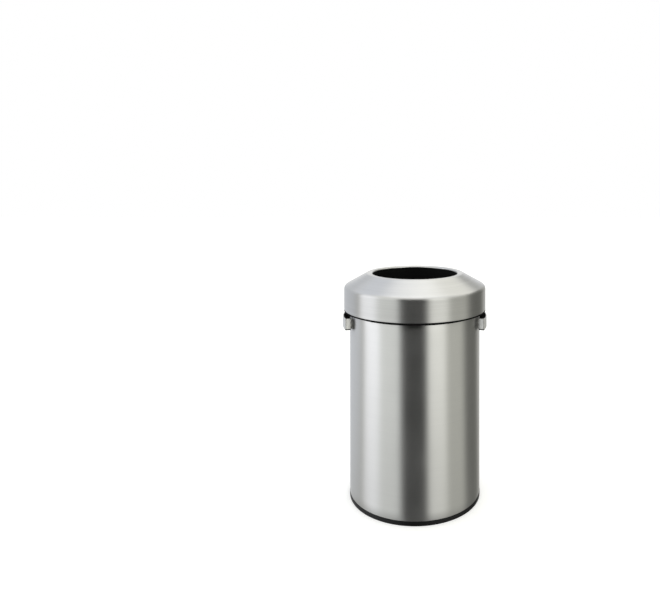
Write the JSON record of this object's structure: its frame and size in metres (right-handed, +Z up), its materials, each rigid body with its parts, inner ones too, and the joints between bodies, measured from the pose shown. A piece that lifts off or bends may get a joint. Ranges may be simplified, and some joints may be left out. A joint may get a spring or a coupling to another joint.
{
  "type": "waste bin",
  "caption": "Cylindrical open-top steel waste bin with strap handles at its sides, a lift-off lid with a round mouth, a bag ring and a lift-out inner bucket.",
  "frame": {"origin": "on the floor, at the centre of the base ring's underside", "axes": "+Z up along the bin's axis, the strap handles on +X and -X, the front towards -Y"},
  "size_m": [0.41, 0.4032, 0.6283],
  "materials": {
    "brushed_stainless_steel": "brushed",
    "mill_finish_steel": "mill",
    "zinc_plated_steel": "zinc plated",
    "rivet_steel": "drawn",
    "black_abs": "satin moulded",
    "black_polypropylene": "fine grained"
  },
  "bodies": {
    "bin_body": {"body_shell": "brushed_stainless_steel", "base_ring": "black_abs", "floor_pan": "mill_finish_steel", "base_screw_1": "zinc_plated_steel", "base_screw_2": "zinc_plated_steel", "base_screw_3": "zinc_plated_steel", "base_screw_4": "zinc_plated_steel", "rim_collar": "black_abs", "handle_right": "brushed_stainless_steel", "handle_left": "brushed_stainless_steel", "handle_backing_right": "mill_finish_steel", "handle_backing_left": "mill_finish_steel", "handle_rivet_right_1": "rivet_steel", "handle_rivet_right_2": "rivet_steel", "handle_rivet_right_3": "rivet_steel", "handle_rivet_right_4": "rivet_steel", "handle_rivet_left_1": "rivet_steel", "handle_rivet_left_2": "rivet_steel", "handle_rivet_left_3": "rivet_steel", "handle_rivet_left_4": "rivet_steel"},
    "bucket_body": {"inner_bucket": "black_polypropylene", "bucket_band": "black_polypropylene"},
    "bag_ring_body": {"bag_ring": "black_abs"},
    "lid_body": {"lid_shell": "brushed_stainless_steel", "lid_frame": "black_abs", "lid_throat": "black_abs"}
  },
  "joints": [
    {"name": "bucket_lift", "type": "slide", "parent": "bin_body", "child": "bucket_body", "axis": [0, 0, 1], "range_m": [0, 0.5]},
    {"name": "bag_ring_lift", "type": "slide", "parent": "bucket_body", "child": "bag_ring_body", "axis": [0, 0, 1], "range_m": [0, 0.08]},
    {"name": "lid_lift", "type": "slide", "parent": "bag_ring_body", "child": "lid_body", "axis": [0, 0, 1], "range_m": [0, 0.15]}
  ]
}
